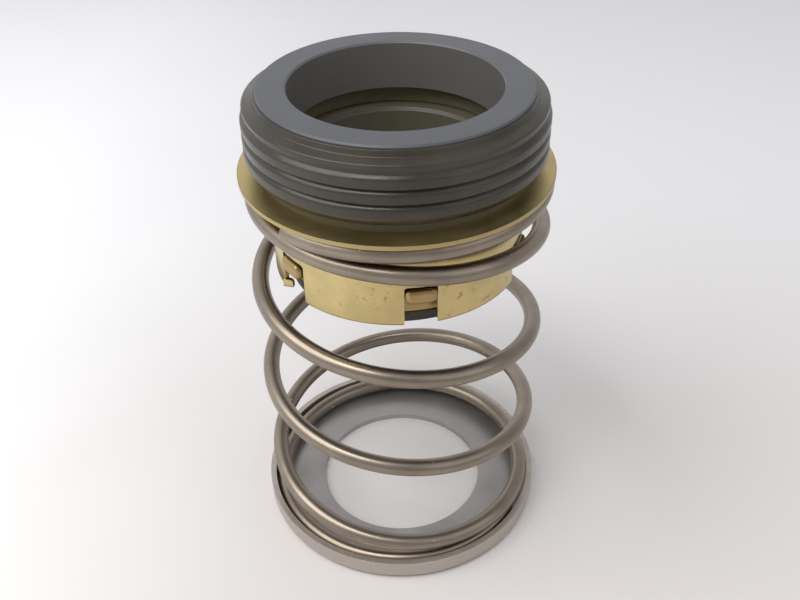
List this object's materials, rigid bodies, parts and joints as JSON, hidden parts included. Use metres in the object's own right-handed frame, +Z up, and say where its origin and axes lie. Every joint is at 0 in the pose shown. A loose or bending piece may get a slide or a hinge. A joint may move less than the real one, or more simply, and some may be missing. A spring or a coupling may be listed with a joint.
{
  "type": "component mechanical seal",
  "caption": "Elastomer bellows shaft seal: coil spring on a stamped holder, brass-shelled rotating head and a stationary seat ring in a ribbed rubber boot.",
  "frame": {"origin": "centre of the spring holder's underside, on the floor, on the shaft axis", "axes": "+Z up along the shaft axis, from the spring holder towards the seat's face; +X to the right and -Y towards the front"},
  "size_m": [0.0452, 0.0452, 0.073],
  "materials": {
    "holder_steel": "satin pressed stainless sheet, lightly worn rim",
    "spring_wire": "drawn stainless spring wire, brownish satin",
    "yellow_brass": "bright drawn yellow brass with small stains",
    "carbon": "turned carbon graphite, lapped nose",
    "black_rubber": "matt moulded rubber",
    "red_brass": "dull red brass strip",
    "seat_metal": "fine lapped grey face",
    "boot_rubber": "satin moulded rubber, ribbed"
  },
  "bodies": {
    "base": {"spring_holder": "holder_steel", "spring": "spring_wire"},
    "head": {"retainer": "yellow_brass", "primary_ring": "carbon"},
    "drive": {"drive_band": "red_brass", "bellows": "black_rubber"},
    "seat": {"seat_ring": "seat_metal", "seat_boot": "boot_rubber"}
  },
  "joints": [
    {"name": "head_slide", "type": "slide", "parent": "base", "child": "head", "axis": [0, 0, 1], "range_m": [-0.036, 0], "stiffness_N_per_m": 1500, "springref_m": 0.0006, "deforming": ["spring"]},
    {"name": "band_slide", "type": "slide", "parent": "head", "child": "drive", "axis": [0, 0, 1], "range_m": [-0.002, 0], "stiffness_N_per_m": 2000, "springref_m": 0.0001, "deforming": ["bellows"]},
    {"name": "seat_spin", "type": "hinge", "parent": "head", "child": "seat", "pos_m": [0, 0, 0.0633], "axis": [0, 0, 1], "continuous": true}
  ]
}
